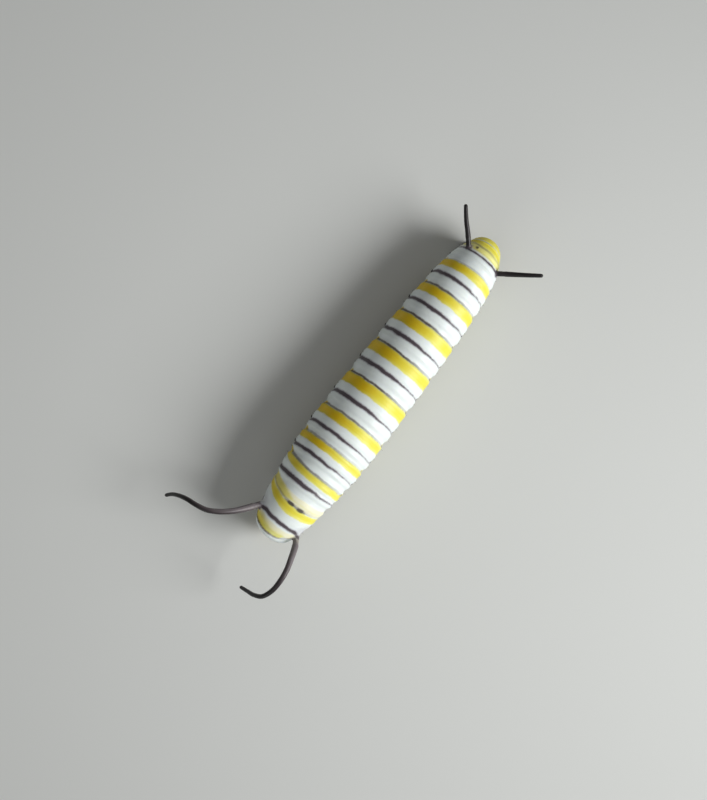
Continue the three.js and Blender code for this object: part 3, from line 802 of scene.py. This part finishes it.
bm = bmesh.new()
for segment in range(LAST):
    for row in HAIR_ROWS:
        for degrees in HAIR_ANGLES:
            for side in (-1, 1):
                t_at = segment + row + chance.uniform(-1, 1) * HAIR_STRAYS["t"]
                stray = chance.uniform(-1, 1) * HAIR_STRAYS["degrees"]
                at, out, up = skin_frame(t_at, side * (degrees + stray))
                tilt = out + np.array([chance.uniform(-1, 1) * HAIR_STRAYS["tilt"] for _ in range(3)])
                length = HAIR_LENGTH * chance.uniform(*HAIR_STRAYS["length"])
                middle = (HAIR_RADIUS * 0.7, length * 0.6)
                turned(bm, ((0, HAIR_ROOT), (HAIR_RADIUS, HAIR_ROOT), middle, (0, length)), 5, at, tilt, up)


def mottled(name, roughness, size, one, other, **sockets):
    """A finish whose colour drifts between two in blotches of a size in millimetres."""
    material, tree, shader = finish_of(name, roughness, one, **sockets)
    spot = add(tree, "ShaderNodeTexCoord").outputs["Object"]
    tone = add(tree, "ShaderNodeTexNoise", {"Vector": spot, "Scale": 1 / (size * MM)}).outputs["Fac"]
    mix = add(tree, "ShaderNodeMix", {"Factor": tone, 6: one, 7: other}, data_type="RGBA")
    tree.links.new(mix.outputs[2], shader.inputs["Base Color"])
    return material


# A dark bristle is a hollow hair of cuticle, grown out of the skin and tanned as it dried: some are
# browner than others, and none shines.
piece_of("hairs", bm, mottled("dark bristle", 0.5, 1.1, "#1f1a18", "#4d443f"))

# The feet's plates and hooks: a smooth black shield on the outside of each fleshy foot, with two pale
# spots, and a half ring of tiny brown hooks along the inside of its sole.
PLATE_PROFILE = (
    (0, 0.075), (0.25, 0.07), (0.5, 0.055), (0.75, 0.03), (0.92, 0.0), (1.0, -0.06), (0.6, -0.1), (0, -0.1),
)
PLATE_Z, PLATE_SUNK, PLATE_TILT = 0.74, 0.03, 0.12
PLATE_HALF = (0.62, 0.34, 1.0)
PLATE_SPOTS, SPOT_RADIUS = ((0, -0.27, 0.02), (0, 0.27, 0.02)), 0.13
# The hooks stand on an arc of the sole, at this share of its half width and length and this many degrees
# both ways from its inner side. A hook's root, bend and tip lie this far outside the arc and this far down.
HOOKS, HOOK_RADIUS, HOOK_ARC, HOOK_RING, HOOK_Z = 17, 0.028, 80, 0.76, 0.14
HOOK_LINE = ((-0.05, 0), (0.07, 0.03), (0.1, 0.12))

plates, hooks = bmesh.new(), bmesh.new()
plate_spots = []
for size, y, side in feet:
    rise = PLATE_Z / size["top"]
    width = np.interp(1 - rise, *np.array(FOOT_PROFILE).T)
    centre = np.array((side * (size["out"] - rise * size["splay"]), y + rise * size["back"], PLATE_Z))
    at = centre + np.array((side * (width * size["wide"] - PLATE_SUNK), 0, 0))
    turned(plates, PLATE_PROFILE, 40, at, (side, 0, PLATE_TILT), (0, 0, 1), PLATE_HALF)
    plate_spots += [at + np.array(spot) for spot in PLATE_SPOTS]
    for turn in np.radians(np.linspace(-HOOK_ARC, HOOK_ARC, HOOKS)):
        outward = np.array((-side * math.cos(turn), math.sin(turn), 0))
        base = np.array((side * size["out"], y, HOOK_Z))
        base += outward * (size["wide"] * HOOK_RING, size["long"] * HOOK_RING, 0)
        hook = Route([base + outward * out - (0, 0, down) for out, down in HOOK_LINE], 20)
        limb(hooks, hook, lambda s: HOOK_RADIUS * (1 - 0.85 * s / hook.length), 6, 6)

# The foot plate is thick cuticle, tanned hard and black and finely grained, so that its shine is broken.
shield_finish, tree, shader = finish_of("black foot plate", 0.28, Coat_Weight=0.25)
spot = add(tree, "ShaderNodeAttribute", attribute_name="spot").outputs["Fac"]
edge = add(tree, "ShaderNodeMapRange", {"Value": spot, "From Min": 0.45, "From Max": 0.6}).outputs[0]
mix = add(tree, "ShaderNodeMix", {"Factor": edge, 6: "#1b1717", 7: "#e4e2d6"}, data_type="RGBA")
tree.links.new(mix.outputs[2], shader.inputs["Base Color"])
place = add(tree, "ShaderNodeTexCoord").outputs["Object"]
fine = add(tree, "ShaderNodeTexNoise", {"Vector": place, "Scale": 1 / (0.08 * MM)}).outputs["Fac"]
bump = add(tree, "ShaderNodeBump", {"Height": fine, "Strength": 0.25, "Distance": 0.02 * MM})
tree.links.new(bump.outputs["Normal"], shader.inputs["Normal"])
plate_points = np.array([v.co for v in plates.verts])
spots = np.max([np.exp(-(((plate_points - p) / SPOT_RADIUS) ** 2).sum(1)) for p in plate_spots], axis=0)
note(piece_of("foot_plates", plates, shield_finish).data, "spot", spots)

# Hook cuticle is hard but tanned only to brown, and a little light passes it, so it looks like horn.
hook_finish = mottled("brown hook cuticle", 0.35, 0.3, "#3a2413", "#7d5630")
piece_of("foot_hooks", hooks, hook_finish)

# The head: a hard smooth shell of two rounded cheeks with a seam over the crown and a sunken triangle in
# the face, striped black and pale yellow in rings that frame the mouth. It hangs under the hood, face
# down.
HEAD = {"wide": 3.4, "tall": 3.2, "deep": 2.5, "y": 1.95, "z": 1.95, "lean": 72}
CROWN = np.array((0, -math.sin(math.radians(HEAD["lean"])), math.cos(math.radians(HEAD["lean"]))))
FACE = np.array((0, -math.cos(math.radians(HEAD["lean"])), -math.sin(math.radians(HEAD["lean"]))))
ACROSS = np.array((1.0, 0, 0))
HEAD_MIDDLE = np.array((0, HEAD["y"], HEAD["z"]))
# The shell's forms, in shares of its half sizes, and the direction of the mouth.
SEAM = {"deep": 0.05, "wide": 0.07, "rises": (-0.1, 0.7)}
CHEEK = {"swell": 0.05, "at": 0.55, "wide": 0.3, "below": 0.6}
TRIANGLE = {"top": 0.42, "slope": 0.34, "deep": 0.018, "wide": 0.035, "rises": (-0.55, -0.35)}
CHIN_CUT, JAW_NARROWS, FACE_FLATNESS = 0.1, 0.16, 0.94
MOUTH = np.array((0, -0.78, 0.62))


def head_point(x, up, out):
    """A point of the head from shares of its half width, height and depth."""
    x, up, out = (np.asarray(v, float)[..., None] for v in (x, up, out))
    across, rise = ACROSS * x * HEAD["wide"] / 2, CROWN * up * HEAD["tall"] / 2
    return HEAD_MIDDLE + across + rise + FACE * out * HEAD["deep"] / 2


def shell_at(direction, lift=0.0):
    """The shell's surface in a direction across, up and out, in shares of the head's half sizes."""
    x, y, z = np.asarray(direction, float).T
    seam = SEAM["deep"] * np.exp(-((x / SEAM["wide"]) ** 2)) * ramp(y, *SEAM["rises"])
    cheek = CHEEK["swell"] * np.exp(-(((np.abs(x) - CHEEK["at"]) / CHEEK["wide"]) ** 2))
    chin = CHIN_CUT * ramp(-y, 0.2, 1) * (1 - np.abs(x))
    on_face = (y < TRIANGLE["top"]) & (z > 0)
    edge = np.abs(np.abs(x) - TRIANGLE["slope"] * (TRIANGLE["top"] - y))
    groove = TRIANGLE["deep"] * np.exp(-((edge / TRIANGLE["wide"]) ** 2)) * ramp(y, *TRIANGLE["rises"])
    k = 1 - seam + cheek * np.where(y > 0, 1, CHEEK["below"]) - chin - groove * on_face + lift
    jaw = 1 - JAW_NARROWS * ramp(-y, 0, 1)
    return head_point(x * k * jaw, y * k, z * k * np.where(z > 0, FACE_FLATNESS, 1))


bm = bmesh.new()
bmesh.ops.create_icosphere(bm, subdivisions=6, radius=1.0)
directions = np.array([v.co.normalized() for v in bm.verts])
for v, p in zip(bm.verts, shell_at(directions)):
    v.co = p
x, y, z = directions.T
ringed = np.arccos(np.clip(directions @ MOUTH, -1, 1)) / math.pi + 0.03 * np.cos(5 * np.arctan2(x, y))

# The head's shell is hard cuticle with the pigment in it, moulted smooth and faintly pitted, so that it
# shines like lacquer and its stripes have crisp edges.
head_finish, tree, shader = finish_of("striped head shell", 0.24, Coat_Weight=0.35, Coat_Roughness=0.15)
ringed_at = add(tree, "ShaderNodeAttribute", attribute_name="ringed").outputs["Fac"]
spot = add(tree, "ShaderNodeTexCoord").outputs["Object"]
waver = add(tree, "ShaderNodeTexNoise", {"Vector": spot, "Scale": 1 / (0.7 * MM), "Detail": 2.0})
waver = waver.outputs["Fac"]
shift = add(tree, "ShaderNodeMath", {0: waver, 1: 0.05, 2: ringed_at}, operation="MULTIPLY_ADD").outputs[0]
# From the mouth out: the ring's place as a share of the way to the nape, and its colour.
HEAD_STRIPES = (
    (0.0, "#e9e3c0"), (0.12, "#e9e3c0"), (0.135, "#1b1717"), (0.215, "#1b1717"), (0.23, "#ead549"),
    (0.285, "#eddf72"), (0.3, "#1b1717"), (0.405, "#1b1717"), (0.42, "#e9d33f"), (0.485, "#eddf72"),
    (0.5, "#1b1717"), (0.6, "#1b1717"), (0.615, "#e9d654"), (0.665, "#ebdd80"), (0.68, "#1b1717"),
    (1.0, "#1f1b1b"),
)
stripes = add(tree, "ShaderNodeValToRGB", {"Fac": shift}, HEAD_STRIPES)
tree.links.new(stripes.outputs["Color"], shader.inputs["Base Color"])
pits = add(tree, "ShaderNodeTexVoronoi", {"Vector": spot, "Scale": 1 / (0.11 * MM)}).outputs["Distance"]
bump = add(tree, "ShaderNodeBump", {"Height": pits, "Strength": 0.2, "Distance": 0.02 * MM})
tree.links.new(bump.outputs["Normal"], shader.inputs["Normal"])
note(piece_of("head_shell", bm, head_finish, ["head"]).data, "ringed", ringed)

# The eyes: six tiny clear domes low on each cheek, five in an arc and one behind it, each over a black
# cup. They tell light from dark and little more.
EYE_RADIUS, EYE_SUNK = 0.13, -0.02
EYE_PROFILE = [(math.sin(a), math.cos(a)) for a in np.linspace(0, math.pi, 13)]
EYE_ARC = {"middle": (0.86, -0.36, 0.3), "radius": 0.17, "turns": (-70, -28, 14, 56, 98)}
LONE_EYE = (0.9, -0.34, 0.08)

bm = bmesh.new()
arc = [
    np.array(EYE_ARC["middle"]) + EYE_ARC["radius"] * np.array((0, math.sin(turn), math.cos(turn)))
    for turn in np.radians(EYE_ARC["turns"])
]
for side in (-1, 1):
    for x, y, z in (*arc, LONE_EYE):
        direction = np.array((side * x, y, z)) / math.hypot(x, y, z)
        at = shell_at(direction[None], EYE_SUNK)[0]
        out = ACROSS * direction[0] + CROWN * direction[1] + FACE * direction[2]
        turned(bm, EYE_PROFILE, 20, at, out, CROWN, (EYE_RADIUS,) * 3)

# An eye is a lens of clear cuticle, moulted glass-smooth over a black cup, and looks like a wet bead.
eye_finish = mottled("clear eye dome over a black cup", 0.06, 0.2, "#0a0808", "#231a14", Coat_Weight=0.6)
piece_of("eyes", bm, eye_finish)

# The mouthparts: a notched upper lip over two dark jaws, a pair of jointed palps, and a lower lip that
# ends in the silk nozzle. Each has a pale soft base and dark hard joints. Profiles give shares of the
# length and radii in millimetres, and lines run through points of the head.
LIP = ((0, 0.3), (0.3, 0.36), (0.6, 0.37), (0.82, 0.32), (0.94, 0.22), (1, 0.1))
JAW = ((0, 0.3), (0.4, 0.34), (0.7, 0.26), (0.9, 0.14), (1, 0.04))
PALP = ((0, 0.17), (0.3, 0.17), (0.34, 0.13), (0.6, 0.13), (0.64, 0.09), (0.9, 0.09), (1, 0.04))
CHIN = ((0, 0.5), (0.35, 0.5), (0.6, 0.4), (0.72, 0.24), (0.8, 0.12), (0.95, 0.09), (1, 0.05))
PAIRED = (
    (((0.16, -0.7, 0.62), (0.19, -0.88, 0.63), (0.2, -1.04, 0.6)), LIP, 20),
    (((0.42, -0.7, 0.4), (0.36, -0.95, 0.42), (0.12, -1.12, 0.45)), JAW, 20),
    (((0.36, -0.8, 0.0), (0.42, -1.05, 0.08), (0.4, -1.26, 0.2)), PALP, 14),
)
CHIN_LINE = ((0, -0.6, -0.1), (0, -1.0, 0.0), (0, -1.22, 0.08))


def shares_along(bm, first, route):
    """How far along its route each point of a limb is, counting a mesh's points from first."""
    bm.verts.ensure_lookup_table()
    return route.nearest(np.array([v.co for v in bm.verts[first:]]))[0] / route.length


def stub(bm, points, profile, sides=20):
    """A jointed stub through points of the head. Gives back how far along it each of its points is."""
    route = Route([head_point(*p) for p in points], 120)
    shares, radii = np.array(profile, float).T
    steps = np.concatenate(((shares[0],), shares, (shares[-1],))) * route.length
    first = len(bm.verts)
    ringed_tube(bm, route, steps, np.concatenate(((0,), radii, (0,))), sides)
    return shares_along(bm, first, route)


def chitin(name, stops, roughness=0.3):
    """A finish of hard joints on pale soft skin, whose colour follows the share of the limb's length."""
    material, tree, shader = finish_of(name, roughness, Coat_Weight=0.25, Coat_Roughness=0.2)
    share = add(tree, "ShaderNodeAttribute", attribute_name="share").outputs["Fac"]
    spot = add(tree, "ShaderNodeTexCoord").outputs["Object"]
    waver = add(tree, "ShaderNodeTexNoise", {"Vector": spot, "Scale": 1 / (0.25 * MM), "Detail": 2.0})
    waver = waver.outputs["Fac"]
    shift = add(tree, "ShaderNodeMath", {0: waver, 1: 0.04, 2: share}, operation="MULTIPLY_ADD").outputs[0]
    joints = add(tree, "ShaderNodeValToRGB", {"Fac": shift}, stops)
    tree.links.new(joints.outputs["Color"], shader.inputs["Base Color"])
    bump = add(tree, "ShaderNodeBump", {"Height": waver, "Strength": 0.3, "Distance": 0.03 * MM})
    tree.links.new(bump.outputs["Normal"], shader.inputs["Normal"])
    return material


bm, shares = bmesh.new(), []
for side in (-1, 1):
    for line, profile, sides in PAIRED:
        shares.append(stub(bm, [(side * x, up, out) for x, up, out in line], profile, sides))
shares.append(stub(bm, CHIN_LINE, CHIN))

# Jaw and lip cuticle is moulted soft and pale and tans as it hardens, so it runs from cream at the base
# to a black and glossy biting edge.
mouth = chitin("jaw and lip cuticle", (
    (0.0, "#d9d2b4"), (0.4, "#8c7d5f"), (0.55, "#2a1a10"), (1.0, "#140d09"),
))
note(piece_of("mouthparts", bm, mouth).data, "share", np.concatenate(shares))

# The antennae: a stub on each side of the mouth, of three joints that draw in like a telescope. The larva
# feels and smells its food with them.
ANTENNA = (
    (0, 0.27), (0.4, 0.27), (0.46, 0.2), (0.5, 0.21), (0.72, 0.2), (0.76, 0.12), (0.8, 0.12), (0.93, 0.11),
    (1, 0.03),
)
ANTENNA_LINE = ((0.62, -0.62, 0.5), (0.76, -0.9, 0.78), (0.8, -1.12, 0.98))

bm, shares = bmesh.new(), []
for side in (-1, 1):
    shares.append(stub(bm, [(side * x, up, out) for x, up, out in ANTENNA_LINE], ANTENNA))

# Antenna cuticle is tanned black in rings, with soft pale skin between them, and looks banded and satiny.
antenna = chitin("antenna cuticle", (
    (0.0, "#dcd6bd"), (0.44, "#d3ccb0"), (0.5, "#1c1817"), (0.7, "#1c1817"), (0.74, "#b9b29a"),
    (0.8, "#1c1817"),
))
antennae = piece_of("antennae", bm, antenna, ["antenna_left", "antenna_right"])
note(antennae.data, "share", np.concatenate(shares))

# The six true legs: short, hard, glossy black and jointed, each ending in a single curved claw, with
# pale soft skin at the joints.
LEGS = (
    {"t": 0.75, "out": 1.15, "foot": (1.5, 4.15), "thick": 0.34, "knee": 0.25},
    {"t": 1.55, "out": 1.1, "foot": (1.75, 5.7), "thick": 0.44, "knee": 0.4},
    {"t": 2.45, "out": 1.2, "foot": (2.05, 7.6), "thick": 0.48, "knee": 0.45},
)
LEG_PROFILE = (
    (0, 1.25), (0.12, 1.26), (0.24, 1.22), (0.34, 1.18), (0.4, 1.1), (0.43, 0.94), (0.46, 0.92), (0.5, 1.0),
    (0.58, 0.98), (0.64, 0.88), (0.67, 0.7), (0.7, 0.68), (0.73, 0.74), (0.8, 0.68), (0.85, 0.5), (0.87, 0.4),
    (0.9, 0.36), (0.95, 0.24), (1, 0.06),
)

# A leg's root lies between the belly's skin and the body's middle line.
ROOT_SHARES = (0.55, 0.45)

bm, shares = bmesh.new(), []
for leg in LEGS:
    middle = np.array((0, sized(leg["t"], Y), sized(leg["t"], Z)))
    hip = skin_at(leg["t"], math.pi) * ROOT_SHARES[0] + middle * ROOT_SHARES[1]
    foot_x, foot_y = leg["foot"]
    for side in (-1, 1):
        route = Route((
            (side * leg["out"], hip[1], hip[2] + 0.3),
            (side * (leg["out"] + leg["knee"]), (hip[1] + foot_y) / 2 - 0.15, hip[2] * 0.5),
            (side * foot_x, foot_y, 0.45),
            (side * (foot_x - 0.12), foot_y + 0.05, 0.02),
        ), 200)
        along, radii = np.array(LEG_PROFILE).T
        first = len(bm.verts)
        limb(bm, route, lambda s: np.interp(s / route.length, along, radii * leg["thick"]), 60, 28)
        shares.append(shares_along(bm, first, route))
for v in bm.verts:
    v.co.z = max(v.co.z, 0)

# Leg cuticle is moulted smooth and tanned black and hard, so it shines like lacquer. The soft skin shows
# as a pale dull ring at each joint, and the claw is horn brown.
leg_finish = chitin("glossy black leg cuticle", (
    (0.0, "#5d5650"), (0.3, "#2a2523"), (0.42, "#191616"), (0.445, "#8d867a"), (0.485, "#191616"),
    (0.68, "#171414"), (0.7, "#7d766b"), (0.735, "#161313"), (0.88, "#120f0f"), (1.0, "#3a2a1e"),
), 0.22)
leg_nodes = [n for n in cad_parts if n.startswith("leg_")]
note(piece_of("true_legs", bm, leg_finish, leg_nodes).data, "share", np.concatenate(shares))
